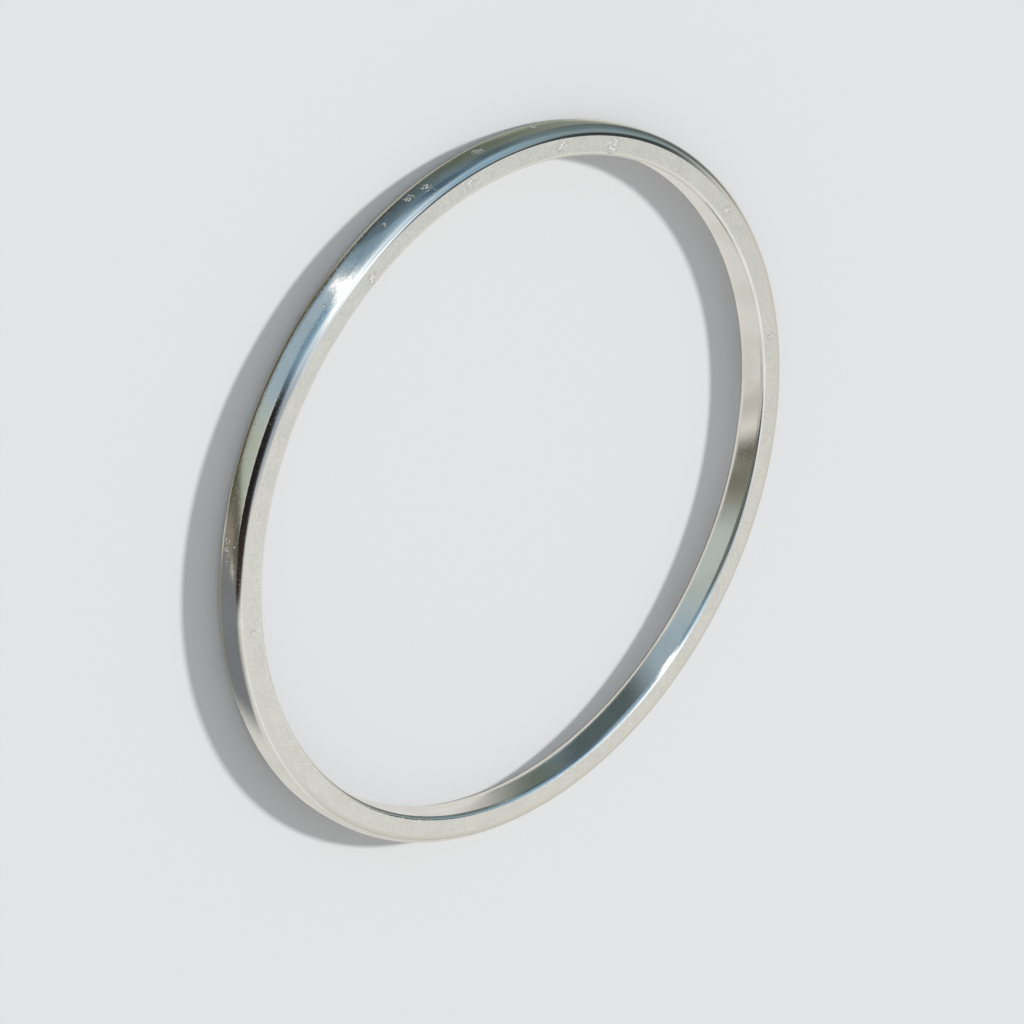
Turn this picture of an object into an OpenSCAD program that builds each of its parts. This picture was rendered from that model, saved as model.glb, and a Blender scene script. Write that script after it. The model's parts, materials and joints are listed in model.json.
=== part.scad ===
// Plain kada bangle: one closed silver ring that lies flat on its side.
// Millimetres, +Z up, the origin on the surface it rests on, under the ring's centre.

/* [Band] */
// Inside diameter, which is the wrist opening
inner_d = 63.5; // [50:0.5:80]
// Wall thickness, from the inner wall to the crown of the outer face
band_t = 2.8; // [2.2:0.1:5]
// Width of the band between its two flat side faces
band_w = 3; // [2.4:0.1:8]

/* [Edges] */
// How far the outer face rises in the middle
crown_h = 0.12; // [0.04:0.01:0.3]
// Radius of the two outer edges
outer_edge_r = 0.65; // [0.3:0.05:1]
// Radius of the two inner edges
inner_edge_r = 0.35; // [0.1:0.05:0.6]

/* [Hidden] */
$fn = 240;
silver = [0.80, 0.80, 0.78];

half_w = band_w / 2;
inner_r = inner_d / 2;
outer_r = inner_r + band_t;

// The outer face is an arc that falls by crown_h from the middle to the side faces
crown_r = (half_w^2 + crown_h^2) / (2 * crown_h);
crown_x = outer_r - crown_r;

// Centres of the outer edge rounds, which touch both the crown arc and a side face
outer_edge_y = half_w - outer_edge_r;
outer_edge_x = crown_x + sqrt((crown_r - outer_edge_r)^2 - outer_edge_y^2);

// Half width of the stretch of crown arc between the two rounds
crown_half_w = outer_edge_y * crown_r / (crown_r - outer_edge_r);

// Centres of the inner edge rounds
inner_edge_x = inner_r + inner_edge_r;
inner_edge_y = half_w - inner_edge_r;

// A block that is as wide as the band is between two rounds on one side of the axis
module block(from_x, to_x, half) {
    translate([from_x, -half]) square([to_x - from_x, 2 * half]);
}

// The pair of rounds at the two edges of one face
module edge_rounds(x, y, r) {
    for (side = [-1, 1]) translate([x, side * y]) circle(r = r);
}

// Section of the band, with the ring's axis along Y
module band_section() {
    block(inner_r, inner_edge_x, inner_edge_y);
    edge_rounds(inner_edge_x, inner_edge_y, inner_edge_r);
    block(inner_edge_x, outer_edge_x, half_w);
    edge_rounds(outer_edge_x, outer_edge_y, outer_edge_r);
    intersection() {
        translate([crown_x, 0]) circle(r = crown_r);
        block(inner_edge_x, outer_r + crown_h, crown_half_w);
    }
}

// The whole ring, turned from its section and lying on one side face
module bangle() {
    color(silver)
        translate([0, 0, half_w])
            rotate_extrude()
                band_section();
}

bangle();
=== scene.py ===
# Plain polished silver bangle lying on its side. Metres, +Z up, the ring's axis along Z.
import json
import math
import random

import bmesh
import bpy
from mathutils import Euler, Matrix, Vector


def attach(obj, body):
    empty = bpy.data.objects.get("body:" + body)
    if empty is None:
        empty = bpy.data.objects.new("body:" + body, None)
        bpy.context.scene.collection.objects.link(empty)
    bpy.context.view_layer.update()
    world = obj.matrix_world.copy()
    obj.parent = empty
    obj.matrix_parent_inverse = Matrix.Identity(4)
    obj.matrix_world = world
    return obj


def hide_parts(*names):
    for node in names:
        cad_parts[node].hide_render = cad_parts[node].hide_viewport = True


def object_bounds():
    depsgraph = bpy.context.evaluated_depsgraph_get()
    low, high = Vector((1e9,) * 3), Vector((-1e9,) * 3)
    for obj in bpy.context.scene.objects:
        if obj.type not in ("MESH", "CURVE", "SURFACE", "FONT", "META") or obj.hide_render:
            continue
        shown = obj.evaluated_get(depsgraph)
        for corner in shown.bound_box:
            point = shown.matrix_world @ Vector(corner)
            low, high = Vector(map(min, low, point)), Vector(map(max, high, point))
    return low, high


mm = 0.001

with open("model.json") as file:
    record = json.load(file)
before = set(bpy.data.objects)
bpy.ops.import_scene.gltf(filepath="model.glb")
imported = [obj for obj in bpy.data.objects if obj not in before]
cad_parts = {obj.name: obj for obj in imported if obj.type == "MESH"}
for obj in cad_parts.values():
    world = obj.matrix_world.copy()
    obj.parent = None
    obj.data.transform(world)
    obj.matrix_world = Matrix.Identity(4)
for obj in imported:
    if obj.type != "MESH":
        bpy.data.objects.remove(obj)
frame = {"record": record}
cadLow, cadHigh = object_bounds()
print("frame loaded")


# The camera looks at the ring from above its near side and is rolled, so that the ring
# stands up in the picture
camera = {
    "elevation": 39.92,   # degrees above the ring's plane
    "distance": 410.9,    # millimetres from the ring's centre
    "aim": (2.16, 1.29),  # point in the ring's plane that it looks at, millimetres
    "roll": 114.88,       # degrees
    "lens": 158.2,        # millimetres
    "clip": (0.01, 20),   # nearest and furthest that it sees, metres
}


def makeCamera():
    middle = (cadLow.z + cadHigh.z) / 2
    rise = math.radians(camera["elevation"])
    reach = camera["distance"] * mm
    data = bpy.data.cameras.new("camera")
    data.lens = camera["lens"]
    data.clip_start, data.clip_end = camera["clip"]
    eye = bpy.data.objects.new("camera", data)
    eye.location = (0, -reach * math.cos(rise), middle + reach * math.sin(rise))
    aim = Vector((camera["aim"][0] * mm, camera["aim"][1] * mm, middle))
    look = (aim - eye.location).to_track_quat("-Z", "Y")
    turn = Euler((0, 0, math.radians(camera["roll"]))).to_quaternion()
    eye.rotation_mode = "QUATERNION"
    eye.rotation_quaternion = look @ turn
    bpy.context.scene.collection.objects.link(eye)
    bpy.context.scene.camera = eye


makeCamera()
print("camera placed")


# Band of the bangle, millimetres. The frame gives its radius, bore and width.
band = {
    "crownRise": 0.12,     # how far the outer face stands out in the middle
    "outerRound": 0.65,    # radius of the two outer edges
    "innerRound": 0.35,    # radius of the two inner edges
    "rim": 0.05,           # narrow strip of faces beside each round, which keeps its shading true
    "burnish": 0.18,       # the same beside the outer rounds on the side faces, burnished smooth, its tone darkened by painted shade
    "flat": 0.5,           # edges of the section longer than this are cut evenly
    "sideSkin": 0.06,      # faces this near to the top or the bottom belong to a side face
    "weld": 0.005,         # points nearer than this are joined
    "roundCuts": (10, 6),  # faces across an outer and an inner round
    "crownCuts": 18,
    "upperCuts": 16,       # the upper side face is fine enough to take the nicks
    "lowerCuts": 3,
    "innerCuts": 5,
    "step": 0.40,          # degrees between copies of the section
    "nickStep": 0.13,      # the same across a nick
    "longest": 10.0,       # degrees that are spun in one go
}

# Patches of small nicks: degrees round the ring, the face, millimetres across that face
# (above the middle of the crown, or out from the axis), radius, count and depth of its dents.
# The last two are on the far half and are guessed.
nicks = [
    (210.9, "crown", -0.41, 0.30, 7, 0.022),
    (222.9, "crown", 0.10, 0.42, 9, 0.016),
    (233.6, "crown", 0.35, 0.45, 16, 0.020),
    (236.7, "crown", -0.04, 0.42, 13, 0.022),
    (242.6, "crown", 0.20, 0.20, 4, 0.014),
    (257.8, "crown", 0.62, 0.13, 2, 0.012),
    (264.6, "crown", 0.95, 0.13, 3, 0.014),
    (272.2, "crown", 0.81, 0.15, 3, 0.016),
    (276.3, "crown", 1.20, 0.14, 3, 0.020),
    (294.8, "crown", -0.48, 0.32, 4, 0.012),
    (296.3, "crown", -0.34, 0.36, 5, 0.014),
    (297.9, "crown", -0.18, 0.32, 5, 0.012),
    (295.3, "crown", 0.50, 0.14, 2, 0.010),
    (163.2, "side", 32.98, 0.36, 9, 0.018),
    (134.7, "side", 33.05, 0.36, 6, 0.020),
    (178.4, "side", 32.61, 0.14, 2, 0.012),
    (196.0, "side", 32.75, 0.60, 18, 0.020),
    (207.5, "side", 32.94, 0.48, 10, 0.020),
    (195.8, "side", 33.10, 0.13, 3, 0.022),
    (227.2, "side", 32.93, 0.44, 10, 0.022),
    (225.9, "side", 33.05, 0.15, 4, 0.024),
    (249.9, "side", 32.55, 0.42, 11, 0.024),
    (309.4, "side", 33.06, 0.28, 5, 0.012),
    (38.0, "crown", 0.30, 0.40, 9, 0.018),
    (97.0, "crown", -0.30, 0.35, 8, 0.018),
]

strike = {
    "size": (0.08, 0.17),  # radius of a dent, millimetres
    "vary": (0.5, 1.2),    # its depth, times the patch's
    "reach": 1.5,          # how far the worn metal reaches, times the patch's radius
    "seed": 4,
}


def bandSection(mesh, boreR, outerR, width):
    # Outline of the band in the XZ plane, as edges only
    corners = [(boreR, 0), (outerR, 0), (outerR, width), (boreR, width)]
    points = [mesh.verts.new((x, 0, z)) for x, z in corners]
    mesh.faces.new(points)
    for radius, cuts, rounded in (
        (band["outerRound"], band["roundCuts"][0], points[1:3]),
        (band["innerRound"], band["roundCuts"][1], (points[0], points[3])),
    ):
        bmesh.ops.bevel(mesh, geom=list(rounded), offset=radius * mm, offset_type="OFFSET",
                        segments=cuts, profile=0.5, affect="VERTICES", material=-1)
    bmesh.ops.delete(mesh, geom=mesh.faces[:], context="FACES_ONLY")
    divideFlats(mesh, boreR, outerR, width)
    crownOuterFace(mesh, boreR, outerR, width / 2)


def divideFlats(mesh, boreR, outerR, width):
    # A narrow strip beside each round first, then even cuts between
    rim = band["rim"] * mm
    outer = band["outerRound"] * mm
    inner = band["innerRound"] * mm
    planes = [
        ((boreR + inner + rim, 0, 0), (1, 0, 0)),
        ((outerR - outer - band["burnish"] * mm, 0, 0), (1, 0, 0)),
        ((0, 0, outer + rim), (0, 0, 1)),
        ((0, 0, width - outer - rim), (0, 0, 1)),
        ((0, 0, inner + rim), (0, 0, 1)),
        ((0, 0, width - inner - rim), (0, 0, 1)),
    ]
    for place, across in planes:
        everything = mesh.verts[:] + mesh.edges[:]
        bmesh.ops.bisect_plane(mesh, geom=everything, dist=1e-9, plane_co=place, plane_no=across)
    middle = (boreR + outerR) / 2
    for edge in [edge for edge in mesh.edges if edge.calc_length() > band["flat"] * mm]:
        centre = (edge.verts[0].co + edge.verts[1].co) / 2
        upright = abs(edge.verts[0].co.x - edge.verts[1].co.x) < 1e-7
        if upright:
            cuts = band["crownCuts"] if centre.x > middle else band["innerCuts"]
        else:
            cuts = band["upperCuts"] if centre.z > width / 2 else band["lowerCuts"]
        bmesh.ops.subdivide_edges(mesh, edges=[edge], cuts=cuts - 1)


def crownOuterFace(mesh, boreR, outerR, halfWidth):
    # The edges of the outer face fall back, and the side faces close up evenly to let them
    flatFrom = boreR + band["innerRound"] * mm
    flatTo = outerR - band["outerRound"] * mm
    for point in mesh.verts:
        away = (point.co.z - halfWidth) / halfWidth
        share = (point.co.x - flatFrom) / (flatTo - flatFrom)
        point.co.x -= band["crownRise"] * mm * away * away * min(max(share, 0), 1)


def turnStretches(outerR):
    # Where the copies of the section stand close together, and where they are wider apart
    fine = []
    for turn, _, _, radius, _, _ in nicks:
        half = math.degrees(radius * mm * strike["reach"] / outerR)
        fine.append((turn - half, turn + half))
    stretches = []
    at = 0.0
    for start, end in sorted(fine) + [(360, 360)]:
        while start - at > 1e-6:
            length = min(start - at, band["longest"])
            stretches.append((at, length, band["step"]))
            at += length
        if end > at:
            stretches.append((at, end - at, band["nickStep"]))
            at = end
    return stretches


def turnSection(section, outerR):
    # Each stretch is spun on its own, which is far quicker, and they are joined at the end
    whole = bmesh.new()
    for start, length, step in turnStretches(outerR):
        part = section.copy()
        bmesh.ops.rotate(part, verts=part.verts, cent=(0, 0, 0),
                         matrix=Matrix.Rotation(math.radians(start), 3, "Z"))
        bmesh.ops.spin(part, geom=part.verts[:] + part.edges[:], cent=(0, 0, 0), axis=(0, 0, 1),
                       angle=math.radians(length), steps=max(1, round(length / step)))
        carrier = bpy.data.meshes.new("stretch")
        part.to_mesh(carrier)
        part.free()
        whole.from_mesh(carrier)
        bpy.data.meshes.remove(carrier)
    bmesh.ops.remove_doubles(whole, verts=whole.verts, dist=band["weld"] * mm)
    bmesh.ops.recalc_face_normals(whole, faces=whole.faces)
    return whole


def strikeNicks(mesh, outerR, width):
    # Each patch is a scatter of small dents, pressed in along the surface, with worn metal round it
    worn = mesh.verts.layers.float.new("nicked")
    mesh.normal_update()
    chance = random.Random(strike["seed"])
    for turn, face, across, radius, count, depth in nicks:
        angle = math.radians(turn)
        if face == "crown":
            place = Vector((outerR, 0, width / 2 + across * mm))
            along = Vector((0, 0, 1))
        else:
            place = Vector((across * mm, 0, width))
            along = Vector((1, 0, 0))
        dents = []
        for _ in range(count):
            away = radius * mm * math.sqrt(chance.random())
            way = chance.uniform(0, 2 * math.pi)
            spot = place + along * away * math.sin(way) + Vector((0, away * math.cos(way), 0))
            spot.rotate(Euler((0, 0, angle)))
            size = chance.uniform(*strike["size"]) * mm
            dents.append((spot, size, depth * mm * chance.uniform(*strike["vary"])))
        place.rotate(Euler((0, 0, angle)))
        pressDents(mesh, place, dents, worn, radius * mm)


def pressDents(mesh, place, dents, worn, radius):
    for point in mesh.verts:
        away = (point.co - place).length / (radius * strike["reach"])
        if away > 1:
            continue
        sink = 0.0
        for spot, size, depth in dents:
            near = (point.co - spot).length / size
            if near < 1:
                sink += depth * (1 - near * near) ** 2
        point[worn] = max(point[worn], 1 - away * away)
        point.co -= point.normal * sink


def wristBore():
    mounts = frame["record"]["mounts"]
    return next(mount["dims"]["r_mm"] for mount in mounts if mount["name"] == "wrist_bore") * mm


def makeObject(name, mesh):
    data = bpy.data.meshes.new(name)
    mesh.to_mesh(data)
    mesh.free()
    made = bpy.data.objects.new(name, data)
    bpy.context.scene.collection.objects.link(made)
    return made


def makeBangle():
    outerR = cadHigh.x
    width = cadHigh.z - cadLow.z
    boreR = wristBore()
    section = bmesh.new()
    bandSection(section, boreR, outerR, width)
    mesh = turnSection(section, outerR)
    section.free()
    strikeNicks(mesh, outerR, width)
    skin = band["sideSkin"] * mm
    satinFrom = boreR + band["innerRound"] * mm
    satinTo = outerR - (band["outerRound"] + band["burnish"] + band["crownRise"]) * mm
    for face in mesh.faces:
        face.smooth = True
        middle = face.calc_center_median()
        across = math.hypot(middle.x, middle.y)
        onSide = middle.z < skin or middle.z > width - skin
        if onSide and across > satinFrom:
            face.material_index = 1 if across < satinTo else 2  # satin, or its burnished rim, darkened by painted shade
    piece = makeObject("silverBand", mesh)
    for finish in (polishedSilver, satinSilver, burnishedSilverPaintedShade):
        piece.data.materials.append(finish())
    print("band turned:", len(piece.data.polygons), "faces")
    return piece


def socket(group, name, way):
    group.interface.new_socket(name=name, in_out=way, socket_type="NodeSocketFloat")


def addNode(tree, kind, **settings):
    node = tree.nodes.new("ShaderNode" + kind)
    for name, value in settings.items():
        setattr(node, name, value)
    return node


def feed(tree, source, target):
    if isinstance(source, (int, float, tuple)):
        target.default_value = source
    else:
        tree.links.new(source, target)


def calculate(tree, operation, *terms, clamp=False):
    node = addNode(tree, "Math", operation=operation, use_clamp=clamp)
    for number, term in enumerate(terms):
        feed(tree, term, node.inputs[number])
    return node.outputs[0]


def stepBetween(tree, value, low, high, start=0.0, end=1.0):
    node = addNode(tree, "MapRange", interpolation_type="SMOOTHSTEP")
    for number, term in enumerate((value, low, high, start, end)):
        feed(tree, term, node.inputs[number])
    return node.outputs[0]


def fromScreen(*levels):
    # A colour as it is read off a screen, 0 to 255, in Blender's linear values
    shares = [level / 255 for level in levels]
    linear = [s / 12.92 if s <= 0.04045 else ((s + 0.055) / 1.055) ** 2.4 for s in shares]
    return (*linear, 1.0)


def addNoise(tree, place, scale, detail, roughness=0.5):
    noise = addNode(tree, "TexNoise")
    for name, value in (("Vector", place), ("Scale", scale), ("Detail", detail), ("Roughness", roughness)):
        feed(tree, value, noise.inputs[name])
    return noise.outputs["Fac"]


def roughen(tree, shader, *reliefs):
    # Each relief, a height and its depth in millimetres, lies on top of the one before it
    normal = None
    for height, depth in reliefs:
        bump = addNode(tree, "Bump")
        bump.inputs["Distance"].default_value = depth * mm
        tree.links.new(height, bump.inputs["Height"])
        if normal is not None:
            tree.links.new(normal, bump.inputs["Normal"])
        normal = bump.outputs["Normal"]
    tree.links.new(normal, shader.inputs["Normal"])


nicked = {
    "colour": (1.0, 0.985, 0.965, 1),
    "shade": (0.36, 0.34, 0.32, 1),  # painted shade beside a speck, standing in for the shadow in its dent
    "shadeShare": 0.5,               # how much of that painted shade shows
    "specks": 4700.0,                # noise cells to a metre, which break each patch up
    "detail": 4,
    "crumble": 0.65,                 # roughness of that noise
    "rare": (0.61, 0.475),           # how high it stands at a speck, at a patch's edge and middle
    "speckEdge": (-0.01, 0.03),      # where a speck starts and is full, from that height
    "shadeEdge": (-0.09, -0.03),     # the same for the painted shade beside it
    "fade": 0.08,                    # share of the wear over which a patch sets in
    "depth": 0.03,                   # millimetres
    "frost": 0.75,                   # share of a speck that scatters light, as torn metal does
}


def nickedGroup():
    # Specks that glint in the patches struck in the mesh, a painted shade beside each speck, and their
    # relief
    group = bpy.data.node_groups.new("nicked", "ShaderNodeTree")
    for name in ("Specks", "Shade", "Relief", "Metal"):
        socket(group, name, "OUTPUT")
    leave = group.nodes.new("NodeGroupOutput")
    worn = addNode(group, "Attribute", attribute_name="nicked").outputs["Fac"]
    place = addNode(group, "TexCoord").outputs["Object"]
    height = addNoise(group, place, nicked["specks"], nicked["detail"], nicked["crumble"])
    edge, middle = nicked["rare"]
    rare = calculate(group, "MULTIPLY_ADD", worn, middle - edge, edge)
    above = calculate(group, "SUBTRACT", height, rare)
    within = stepBetween(group, worn, 0.0, nicked["fade"])
    specks = calculate(group, "MULTIPLY", stepBetween(group, above, *nicked["speckEdge"]), within)
    shade = calculate(group, "MULTIPLY", stepBetween(group, above, *nicked["shadeEdge"]), within)
    group.links.new(specks, leave.inputs["Specks"])
    group.links.new(calculate(group, "SUBTRACT", shade, specks, clamp=True), leave.inputs["Shade"])
    group.links.new(calculate(group, "MULTIPLY", specks, height), leave.inputs["Relief"])
    frost = calculate(group, "MULTIPLY", specks, nicked["frost"])
    group.links.new(calculate(group, "SUBTRACT", 1.0, frost), leave.inputs["Metal"])
    return group


handled = {
    "haze": (0.40, 0.68),    # noise heights between which the haze sets in
    "hazeDetail": 4,
    "scuffs": (0.48, 0.80),  # the same for the strokes that show
    "grainDetail": 2,
}


def handlingGroup():
    # Faint haze of a bangle that is worn every day, and the fine grain of its polish, whose
    # strokes run along the ring
    group = bpy.data.node_groups.new("handling", "ShaderNodeTree")
    for name in ("Clouds", "Strokes Along", "Strokes Across"):
        socket(group, name, "INPUT")
    for name in ("Haze", "Grain", "Scuffs"):
        socket(group, name, "OUTPUT")
    enter = group.nodes.new("NodeGroupInput").outputs
    leave = group.nodes.new("NodeGroupOutput").inputs
    place = addNode(group, "TexCoord").outputs["Object"]
    clouds = addNoise(group, place, enter["Clouds"], handled["hazeDetail"])
    group.links.new(stepBetween(group, clouds, *handled["haze"]), leave["Haze"])
    parts = addNode(group, "SeparateXYZ")
    group.links.new(place, parts.inputs["Vector"])
    x, y, z = parts.outputs
    squares = calculate(group, "MULTIPLY_ADD", x, x, calculate(group, "MULTIPLY", y, y))
    radius = calculate(group, "SQRT", squares)
    along = calculate(group, "MULTIPLY", calculate(group, "ARCTAN2", y, x), cadHigh.x)
    stroke = addNode(group, "CombineXYZ")
    for axis, value, cells in (("X", along, "Strokes Along"), ("Y", radius, "Strokes Across"),
                               ("Z", z, "Strokes Across")):
        group.links.new(calculate(group, "MULTIPLY", value, enter[cells]), stroke.inputs[axis])
    grain = addNoise(group, stroke.outputs["Vector"], 1, handled["grainDetail"])
    group.links.new(grain, leave["Grain"])
    group.links.new(stepBetween(group, grain, *handled["scuffs"]), leave["Scuffs"])
    return group


def silverShader(name, roughness):
    material = bpy.data.materials.new(name)
    material.use_nodes = True
    tree = material.node_tree
    shader = tree.nodes["Principled BSDF"]
    shader.inputs["Metallic"].default_value = 1.0
    shader.inputs["Roughness"].default_value = roughness
    return material, tree, shader


def placeGroup(tree, group, **values):
    node = addNode(tree, "Group", node_tree=groups[group])
    for name, value in values.items():
        node.inputs[name].default_value = value
    return node


def mixColours(tree, share, first, second):
    node = addNode(tree, "Mix", data_type="RGBA")
    feed(tree, share, node.inputs["Factor"])
    feed(tree, first, node.inputs["A"])
    feed(tree, second, node.inputs["B"])
    return node.outputs["Result"]


# Mixes the painted shade beside each speck into a tone, then the speck's own colour over it
def nickTone(tree, nick, tone):
    share = calculate(tree, "MULTIPLY", nick["Shade"], nicked["shadeShare"])
    shaded = mixColours(tree, share, tone, nicked["shade"])
    return mixColours(tree, nick["Specks"], shaded, nicked["colour"])


groups = {"nicked": nickedGroup(), "handling": handlingGroup()}

polish = {
    "clean": (0.93, 0.925, 0.905, 1),  # reflected colour of silver
    "worn": (0.87, 0.86, 0.83, 1),     # the same where handling has dulled it
    "roughness": (0.085, 0.12, 0.20),  # clean, dulled, and what a nick adds
    "scuff": 0.24,                     # what the strokes of the polish add to the roughness
    "clouds": 260.0,                   # noise cells to a metre of the dulled places
    "strokes": (4600.0, 8500.0),       # the same of the polish, along the ring and across it
    "rim": 0.05,                       # roughness of the burnished rim
    # painted shade: a tone darker than the clean silver, which dims what the rim reflects
    "rimPaintedShadeTone": (0.77, 0.76, 0.735, 1),
    "grain": 0.0031,                   # depth of the strokes, millimetres
}


def polishedSilver():
    material, tree, shader = silverShader("polishedSilver", polish["roughness"][0])
    along, across = polish["strokes"]
    handling = placeGroup(tree, "handling", **{
        "Clouds": polish["clouds"], "Strokes Along": along, "Strokes Across": across,
    }).outputs
    nick = placeGroup(tree, "nicked").outputs
    tone = mixColours(tree, handling["Haze"], polish["clean"], polish["worn"])
    tone = nickTone(tree, nick, tone)
    tree.links.new(tone, shader.inputs["Base Color"])
    clean, dulled, inNick = polish["roughness"]
    rough = stepBetween(tree, handling["Haze"], 0, 1, clean, dulled)
    rough = calculate(tree, "MULTIPLY_ADD", handling["Scuffs"], polish["scuff"], rough)
    rough = calculate(tree, "MULTIPLY_ADD", nick["Specks"], inNick, rough)
    tree.links.new(rough, shader.inputs["Roughness"])
    tree.links.new(nick["Metal"], shader.inputs["Metallic"])
    roughen(tree, shader, (handling["Grain"], polish["grain"]), (nick["Relief"], nicked["depth"]))
    return material


def burnishedSilverPaintedShade():
    # Narrow rim of the side faces, burnished smooth, its tone darkened below the clean silver by painted
    # shade
    material, tree, shader = silverShader("burnishedSilverPaintedShade", polish["rim"])
    nick = placeGroup(tree, "nicked").outputs
    tree.links.new(nickTone(tree, nick, polish["rimPaintedShadeTone"]), shader.inputs["Base Color"])
    roughen(tree, shader, (nick["Relief"], nicked["depth"]))
    return material


satin = {
    "light": (0.82, 0.804, 0.752, 1),
    "shade": (0.685, 0.672, 0.628, 1),
    "contrast": (0.30, 0.70),  # noise heights at the light and at the shaded tone
    "metal": 0.55,             # the rest scatters light, as a finely blasted face does
    "roughness": 0.32,
    "specular": 0.2,           # of the part that isn't metal
    "cloud": (420.0, 5),       # noise cells to a metre, and the noise's detail
    "grain": (5200.0, 2),
    "cloudShare": 0.3,         # of the difference in tone, the rest is the grain's
    "grainDepth": 0.006,       # millimetres
}


def satinSilver():
    material, tree, shader = silverShader("satinSilver", satin["roughness"])
    shader.inputs["Specular IOR Level"].default_value = satin["specular"]
    place = addNode(tree, "TexCoord").outputs["Object"]
    cloud, grain = (addNoise(tree, place, *satin[name]) for name in ("cloud", "grain"))
    share = satin["cloudShare"]
    dull = calculate(tree, "MULTIPLY_ADD", cloud, share, calculate(tree, "MULTIPLY", grain, 1 - share))
    nick = placeGroup(tree, "nicked").outputs
    dull = stepBetween(tree, dull, *satin["contrast"])
    tone = nickTone(tree, nick, mixColours(tree, dull, satin["light"], satin["shade"]))
    tree.links.new(tone, shader.inputs["Base Color"])
    metal = calculate(tree, "MULTIPLY", nick["Metal"], satin["metal"])
    tree.links.new(metal, shader.inputs["Metallic"])
    roughen(tree, shader, (grain, satin["grainDepth"]), (nick["Relief"], nicked["depth"]))
    return material


bangle = makeBangle()
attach(bangle, "root")
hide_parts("bangle")


# The floor stays out of reflections, so that the metal shows the studio all round it
studio = {
    "fill": (186, 187, 189),   # even light on all that scatters it
    "backdrop": (228, 228, 229),
    "walls": (206, 205, 199),  # what the metal shows where no band stands
    "wallStrength": 1.08,
    "front": 39.9,             # the bands face this way: degrees above the floor, seen from -Y
    "backFade": (0.1, 0.3),    # they fade out behind the ring, where they would all meet
    "cardCuts": 20,            # faces along each side of a card
    "floorSize": 8.0,          # metres
    "floorGap": 0.01,          # millimetres between the ring and the floor
    "floorTone": (0.8, 0.8, 0.8, 1),
    "floorRoughness": 0.9,
}

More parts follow.
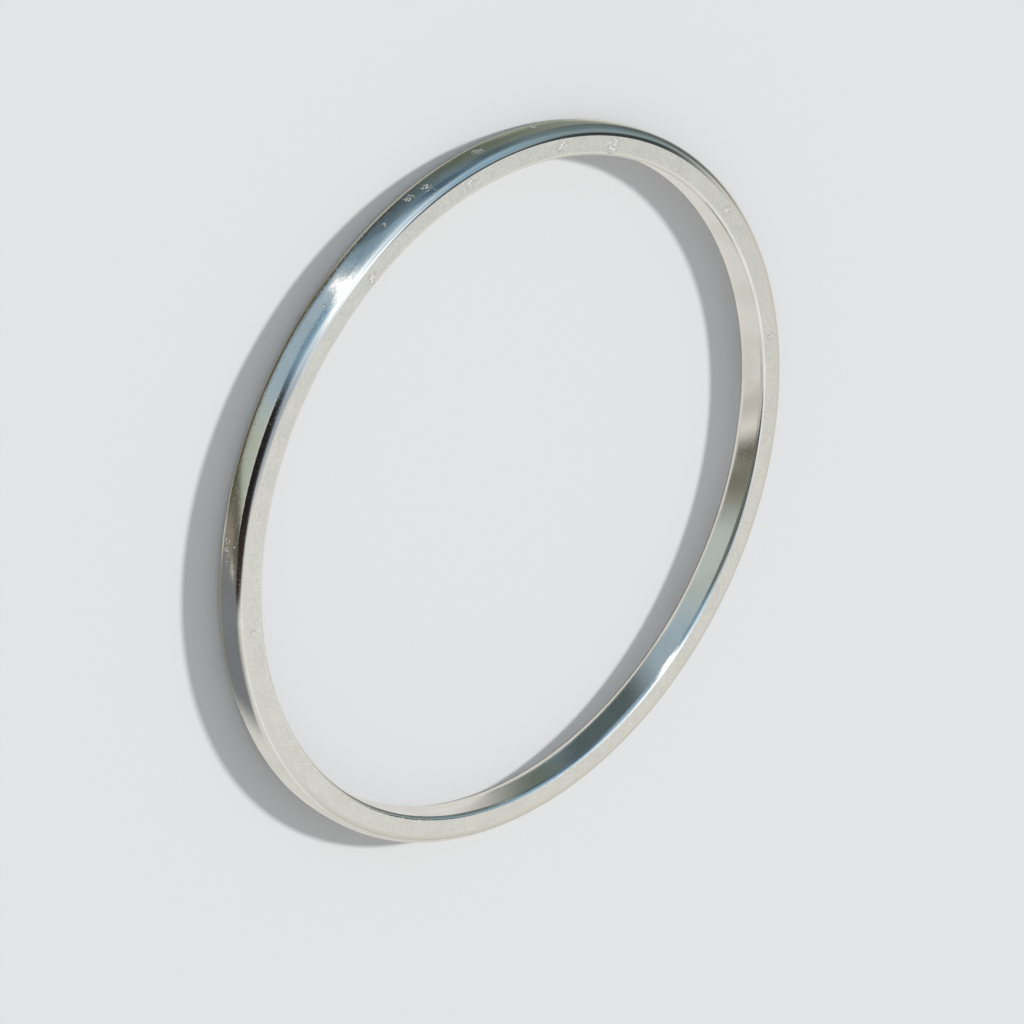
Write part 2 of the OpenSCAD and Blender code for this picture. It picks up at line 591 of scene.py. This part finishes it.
# Soft bands of light and shade that stand round the ring, each over the ones before it. A band is
# placed by the slope of the metal that shows it to the front: how far round the ring (degrees),
# how far it tilts up from the wall, softness of its left, right, low and high edges, colour, lean
bands = [
    ("sideGlow", (-200, 200), (78, 95), (1, 1, 18, 1), (222, 219, 211), 0),
    ("under", (-200, 200), (-95, -8), (1, 1, 1, 6), (166, 164, 154), 0),
    ("underOuter", (206, 322), (-95, -8), (16, 8, 1, 3), (136, 132, 118), 0),
    ("underLeft", (150, 248), (-95, -6.5), (10, 12, 1, 3.5), (166, 163, 152), 0),
    ("underSpot", (288, 299), (-95, -8), (4, 4, 1, 3), (184, 181, 172), 0),
    ("paleRight", (284, 345), (52, 94), (16, 30, 14, 6), (226, 226, 222), 0),
    ("tealPale", (182, 232), (40, 84), (16, 18, 20, 8), (136, 154, 158), -0.4),
    ("teal", (196, 232), (2, 56), (14, 16, 14, 30), (98, 116, 120), -0.5),
    ("greyArc", (178, 198), (2, 67), (14, 14, 10, 16), (90, 96, 95), -0.55),
    ("sky", (214, 256), (40, 92), (20, 10, 24, 6), (144, 174, 194), -0.2),
    ("deepBlue", (224, 256), (-2, 40), (16, 8, 12, 30), (126, 151, 168), 0),
    ("deepBlueLeft", (226, 236), (6, 50), (8, 8, 8, 18), (72, 92, 108), -0.1),
    ("tealDark", (216, 225.5), (-4, 42), (8, 8, 6, 22), (78, 95, 101), 0),
    ("blueRight", (256, 272), (10, 86), (6, 8, 20, 14), (136, 168, 190), 0),
    ("blueRightLow", (256, 272), (-2, 34), (6, 8, 6, 22), (114, 142, 160), 0),
    ("hazeOverDark", (264, 286), (46, 80), (8, 16, 10, 16), (166, 178, 188), 0),
    ("darkTop", (272, 302), (26, 58), (14, 8, 6, 20), (56, 54, 58), 0),
    ("dark", (270, 299), (6.8, 44), (9, 9, 4, 14), (34, 32, 32), 0),
    ("brown", (292, 306), (14, 54), (6, 5, 20, 20), (50, 42, 38), -0.1),
    ("halo", (234, 266), (52, 96), (24, 16, 26, 1), (220, 234, 243), 0),
    ("fan", (248, 258.4), (58, 84), (9, 7, 26, 5), (290, 292, 294), 0),
    ("fanTop", (230, 245), (80, 96), (10, 8, 6, 1), (286, 290, 293), 0),
    ("fanLow", (251.2, 255.8), (16, 70), (3.2, 3, 24, 1), (290, 290, 288), 0),
    ("darkRound", (178, 205), (76, 95), (12, 12, 6, 1), (60, 66, 66), 0),
    ("darkLine", (178, 224), (85, 95), (10, 16, 2.6, 1), (58, 67, 70), 0),
    ("oliveA", (197, 228), (-8, 6), (12, 8, 4, 20), (117, 123, 112), -1.6),
    ("oliveB", (212, 234), (-8, 1), (14, 9, 4, 12), (88, 98, 86), -0.8),
    ("oliveEdge", (201, 218), (-9.5, -4), (8, 8, 1, 3), (146, 150, 138), -0.4),
    ("slate", (229.5, 246.4), (-8, 4), (12, 4, 4, 14), (73, 86, 92), -0.6),
    ("slateMid", (241, 247), (-8, -0.3), (6, 2.5, 4, 1.6), (84, 106, 120), -0.25),
    ("midBlue", (246.5, 254), (-8, 4), (2.5, 6, 4, 4), (116, 141, 156), -0.25),
    ("lightBlue", (250, 278), (-8, 3.6), (4, 10, 4, 3), (150, 169, 180), 0),
    ("paleOlive", (275, 291), (-8, 4), (12, 6, 4, 3), (166, 173, 160), 0.2),
    ("darkOlive", (291, 300.5), (-8, 14), (5, 4, 4, 18), (90, 90, 76), 0.9),
    # Painted reflection: a dull tan patch of the studio that gives the nicked crown there its scuffed look
    ("paintedScuffReflection", (291, 301), (-9, 0.4), (4, 3, 4, 2), (130, 124, 112), 0.6),
    ("line", (252.4, 254.6), (1.6, 40), (1.8, 1.8, 1.2, 16), (300, 298, 294), 0),
    ("glint", (252.6, 254.4), (-2.2, 1.3), (1.8, 1.8, 2.4, 1), (290, 284, 280), 0),
    ("underDark", (235, 260), (-7.6, -4.8), (14, 10, 2.4, 2), (62, 58, 52), 0),
    ("underDarkRight", (254, 292), (-24, -6), (14, 6, 8, 2), (80, 76, 62), 0),
]


def bandGroup():
    # Mask of one soft-edged band. Each edge runs between the two values that it is given.
    group = bpy.data.node_groups.new("studioBand", "ShaderNodeTree")
    for name in ("Turn", "Tilt", "Middle", "Lean", "Level"):
        socket(group, name, "INPUT")
    for side in ("Left", "Right", "Low", "High"):
        socket(group, side + " Out", "INPUT")
        socket(group, side + " In", "INPUT")
    socket(group, "Mask", "OUTPUT")
    enter = group.nodes.new("NodeGroupInput").outputs
    leave = group.nodes.new("NodeGroupOutput")
    above = calculate(group, "SUBTRACT", enter["Tilt"], enter["Level"])
    turn = calculate(group, "SUBTRACT", enter["Turn"], enter["Middle"])
    turn = calculate(group, "SUBTRACT", turn, calculate(group, "MULTIPLY", enter["Lean"], above))
    turn = calculate(group, "WRAP", turn, 180.0, -180.0)
    mask = 1.0
    angles = {"Left": turn, "Right": turn, "Low": enter["Tilt"], "High": enter["Tilt"]}
    for side, angle in angles.items():
        edge = stepBetween(group, angle, enter[side + " Out"], enter[side + " In"])
        mask = calculate(group, "MULTIPLY", mask, edge)
    group.links.new(mask, leave.inputs["Mask"])
    return group


def slopeGroup():
    # Slope of metal that would show this direction to the front, in degrees
    group = bpy.data.node_groups.new("metalSlope", "ShaderNodeTree")
    for name in ("Turn", "Tilt", "Fade"):
        socket(group, name, "OUTPUT")
    leave = group.nodes.new("NodeGroupOutput")
    front = math.radians(studio["front"])
    halfway = addNode(group, "VectorMath", operation="ADD")
    group.links.new(addNode(group, "TexCoord").outputs["Generated"], halfway.inputs[0])
    halfway.inputs[1].default_value = (0, -math.cos(front), math.sin(front))
    length = addNode(group, "VectorMath", operation="LENGTH")
    group.links.new(halfway.outputs["Vector"], length.inputs[0])
    fade = stepBetween(group, length.outputs["Value"], *studio["backFade"])
    group.links.new(fade, leave.inputs["Fade"])
    slope = addNode(group, "VectorMath", operation="NORMALIZE")
    group.links.new(halfway.outputs["Vector"], slope.inputs[0])
    parts = addNode(group, "SeparateXYZ")
    group.links.new(slope.outputs["Vector"], parts.inputs["Vector"])
    x, y, z = parts.outputs
    turn = calculate(group, "DEGREES", calculate(group, "ARCTAN2", y, x))
    tilt = calculate(group, "DEGREES", calculate(group, "ARCSINE", z))
    group.links.new(turn, leave.inputs["Turn"])
    group.links.new(tilt, leave.inputs["Tilt"])
    return group


def placeBand(tree, name, turns, tilts, soft, lean):
    middle = sum(turns) / 2
    half = (turns[1] - turns[0]) / 2
    left, right, low, high = (width / 2 for width in soft)
    band = placeGroup(tree, "studioBand", **{
        "Middle": middle, "Lean": lean, "Level": sum(tilts) / 2,
        "Left Out": -half - left, "Left In": -half + left,
        "Right Out": half + right, "Right In": half - right,
        "Low Out": tilts[0] - low, "Low In": tilts[0] + low,
        "High Out": tilts[1] + high, "High In": tilts[1] - high,
    })
    band.label = name
    return band


def makeWorld():
    world = bpy.data.worlds.new("studio")
    bpy.context.scene.world = world
    world.use_nodes = True
    tree = world.node_tree
    tree.nodes.clear()
    groups["studioBand"] = bandGroup()
    groups["metalSlope"] = slopeGroup()
    slope = placeGroup(tree, "metalSlope").outputs
    colour = walls = fromScreen(*studio["walls"])
    for name, turns, tilts, soft, shade, lean in bands:
        band = placeBand(tree, name, turns, tilts, soft, lean)
        for way in ("Turn", "Tilt"):
            tree.links.new(slope[way], band.inputs[way])
        colour = mixColours(tree, band.outputs["Mask"], colour, fromScreen(*shade))
    colour = mixColours(tree, slope["Fade"], walls, colour)
    room = addNode(tree, "Background")
    room.inputs["Strength"].default_value = studio["wallStrength"]
    tree.links.new(colour, room.inputs["Color"])
    dome = addNode(tree, "Background")
    path = addNode(tree, "LightPath").outputs
    fill, backdrop = (fromScreen(*studio[name]) for name in ("fill", "backdrop"))
    seen = mixColours(tree, path["Is Camera Ray"], fill, backdrop)
    tree.links.new(seen, dome.inputs["Color"])
    plain = calculate(tree, "MAXIMUM", path["Is Camera Ray"], path["Is Diffuse Ray"])
    choose = addNode(tree, "MixShader")
    tree.links.new(plain, choose.inputs["Fac"])
    tree.links.new(room.outputs["Background"], choose.inputs[1])
    tree.links.new(dome.outputs["Background"], choose.inputs[2])
    leave = addNode(tree, "OutputWorld")
    tree.links.new(choose.outputs["Shader"], leave.inputs["Surface"])
    # The dome is even and the metal's own rays find the bands, so neither is sampled as a lamp
    world.cycles.sampling_method = "NONE"


# Cards round the ring, which show only in the metal. Corners: degrees round the ring, millimetres
# from its axis and from the floor. Softness of the edges: share of the width or the height.
cards = {
    "greyCard": {
        "corners": [(309.0, 59.4, -44), (369.0, 50.6, -44), (333.5, 50.0, 20), (314.1, 56.3, 20)],
        "soft": (0.06, 0.30, 0.05, 0.35),  # left, right, low, high
        "colour": (115, 117, 121),
    },
    # These lie on the floor at the foot of the inner wall
    "wallStart": {
        "corners": [(2, 31.4, 0.02), (44, 31.4, 0.02), (42.5, 28, 0.02), (2, 28, 0.02)],
        "soft": (0.1, 0.55, 0.1, 0.1),
        "colour": (212, 210, 206),
    },
    "wallSlate": {
        "corners": [(47, 31.4, 0.04), (78, 31.4, 0.04), (77.5, 28, 0.04), (47, 28, 0.04)],
        "soft": (0.24, 0.12, 0.1, 0.1),
        "colour": (80, 92, 93),
    },
    "wallPatch": {
        "corners": [(65, 31.4, 0.06), (80, 31.4, 0.06), (81, 28, 0.06), (65, 28, 0.06)],
        "soft": (0.6, 0.18, 0.1, 0.1),
        "colour": (148, 164, 173),
    },
    "wallPale": {
        "corners": [(77, 31.4, 0.04), (104, 31.4, 0.04), (104, 28, 0.04), (78, 28, 0.04)],
        "soft": (0.45, 0.2, 0.1, 0.1),
        "colour": (172, 181, 176),
    },
    "wallOlive": {
        "corners": [(97, 31.4, 0.06), (113.5, 31.4, 0.06), (113.5, 28, 0.06), (97, 28, 0.06)],
        "soft": (0.6, 0.4, 0.1, 0.1),
        "colour": (114, 111, 101),
    },
    "wallEnd": {
        "corners": [(111, 31.4, 0.08), (125, 31.4, 0.08), (125, 28, 0.08), (111, 28, 0.08)],
        "soft": (0.4, 0.2, 0.1, 0.1),
        "colour": (209, 206, 200),
    },
    "wallDusk": {
        "corners": [(115, 31.4, 0.09), (125, 31.4, 0.09), (125, 28, 0.09), (115, 28, 0.09)],
        "soft": (0.5, 0.5, 0.1, 0.1),
        "colour": (184, 180, 174),
    },
    # These stand upright inside the ring, before the inner edge
    "edgeShade": {
        "corners": [(84, 24.5, -3), (111.5, 24.5, -3), (111.5, 24.5, 13), (84, 24.5, 13)],
        "soft": (0.25, 0.15, 0.1, 0.3),
        "colour": (103, 106, 101),
    },
    "edgeLight": {
        "corners": [(108.5, 24.3, -3), (122, 24.3, -3), (122, 24.3, 13), (108.5, 24.3, 13)],
        "soft": (0.3, 0.3, 0.1, 0.3),
        "colour": (182, 181, 175),
    },
}

# Lit floor at the foot of the inner wall, which shows only in the metal
footLight = {
    # degrees round the ring, and how far it reaches in from the wall, millimetres
    "reach": [(-20, 1.6), (22, 1.5), (33, 0.45), (60, 0.65), (338, 0.75), (340, 1.6)],
    "soft": 0.35,    # it fades by this share of the reach, before and after it
    "height": 0.01,  # millimetres
    "pieces": 180,
    "colour": (209, 207, 202),
}


def polar(turn, away, up):
    angle = math.radians(turn)
    return Vector((away * math.cos(angle), away * math.sin(angle), up)) * mm


def makeCard(name):
    mesh = bmesh.new()
    card = cards[name]
    left, right, low, high = card["soft"]
    lowLeft, lowRight, highRight, highLeft = (Vector(corner) for corner in card["corners"])
    bmesh.ops.create_grid(mesh, x_segments=studio["cardCuts"], y_segments=studio["cardCuts"], size=0.5)
    veil = mesh.verts.layers.float.new("veil")
    for point in mesh.verts:
        across, up = point.co.x + 0.5, point.co.y + 0.5
        point.co = polar(*lowLeft.lerp(lowRight, across).lerp(highLeft.lerp(highRight, across), up))
        edges = (across / left, (1 - across) / right, up / low, (1 - up) / high)
        point[veil] = math.prod(min(edge, 1) for edge in edges)
    hangCard(name, mesh, card["colour"])


def makeFootLight():
    # A grid laid round the ring
    boreR = wristBore() / mm
    marks = footLight["reach"]
    soft = footLight["soft"]
    # at the wall, and where the fade starts and ends: share of the reach, strength
    rows = ((0, 1), (1 - soft, 1), (1 + soft, 0))
    mesh = bmesh.new()
    bmesh.ops.create_grid(mesh, x_segments=footLight["pieces"], y_segments=2, size=0.5)
    veil = mesh.verts.layers.float.new("veil")
    for point in mesh.verts:
        turn = marks[0][0] + 360 * (point.co.x + 0.5)
        before, after = next((pair for pair in zip(marks, marks[1:]) if turn < pair[1][0]), marks[-2:])
        share = (turn - before[0]) / (after[0] - before[0])
        reach = before[1] + share * (after[1] - before[1])
        inward, strength = rows[round(2 * point.co.y) + 1]
        point.co = polar(turn, boreR - reach * inward, footLight["height"])
        point[veil] = strength
    hangCard("footLight", mesh, footLight["colour"])


def hangCard(name, mesh, colour):
    # Only the metal's reflections show it
    card = makeObject(name, mesh)
    card.visible_camera = card.visible_diffuse = card.visible_shadow = False
    card.visible_transmission = card.visible_volume_scatter = False
    card.data.materials.append(cardSurface(name, colour))


def cardSurface(name, colour):
    material = bpy.data.materials.new(name)
    material.use_nodes = True
    material.cycles.emission_sampling = "NONE"
    tree = material.node_tree
    tree.nodes.clear()
    glow = addNode(tree, "Emission")
    glow.inputs["Color"].default_value = fromScreen(*colour)
    glow.inputs["Strength"].default_value = studio["wallStrength"]
    veil = addNode(tree, "Attribute", attribute_name="veil").outputs["Fac"]
    choose = addNode(tree, "MixShader")
    tree.links.new(stepBetween(tree, veil, 0, 1), choose.inputs["Fac"])
    tree.links.new(addNode(tree, "BsdfTransparent").outputs["BSDF"], choose.inputs[1])
    tree.links.new(glow.outputs["Emission"], choose.inputs[2])
    leave = addNode(tree, "OutputMaterial")
    tree.links.new(choose.outputs["Shader"], leave.inputs["Surface"])
    return material


def makeFloor():
    mesh = bmesh.new()
    bmesh.ops.create_grid(mesh, x_segments=1, y_segments=1, size=studio["floorSize"] / 2)
    bmesh.ops.translate(mesh, verts=mesh.verts, vec=(0, 0, cadLow.z - studio["floorGap"] * mm))
    floor = makeObject("floor", mesh)
    floor.visible_glossy = False
    material = bpy.data.materials.new("paleFloor")
    material.use_nodes = True
    shader = material.node_tree.nodes["Principled BSDF"]
    shader.inputs["Base Color"].default_value = studio["floorTone"]
    shader.inputs["Roughness"].default_value = studio["floorRoughness"]
    shader.inputs["Specular IOR Level"].default_value = 0.0
    floor.data.materials.append(material)


key = {
    "from": (125.0, 34.0),  # degrees round the ring and above the floor
    "strength": 2.65,
    "softness": 5.0,        # degrees
}


def makeKeyLight():
    data = bpy.data.lights.new("keyLight", "SUN")
    data.energy = key["strength"]
    data.angle = math.radians(key["softness"])
    lamp = bpy.data.objects.new("keyLight", data)
    turn, rise = (math.radians(angle) for angle in key["from"])
    toward = Vector((math.cos(turn) * math.cos(rise), math.sin(turn) * math.cos(rise), math.sin(rise)))
    lamp.rotation_mode = "QUATERNION"
    lamp.rotation_quaternion = toward.to_track_quat("Z", "Y")
    lamp.visible_glossy = False
    bpy.context.scene.collection.objects.link(lamp)


makeWorld()
makeFloor()
for name in cards:
    makeCard(name)
makeFootLight()
makeKeyLight()
bpy.context.scene.view_settings.view_transform = "Standard"
print("studio lit")
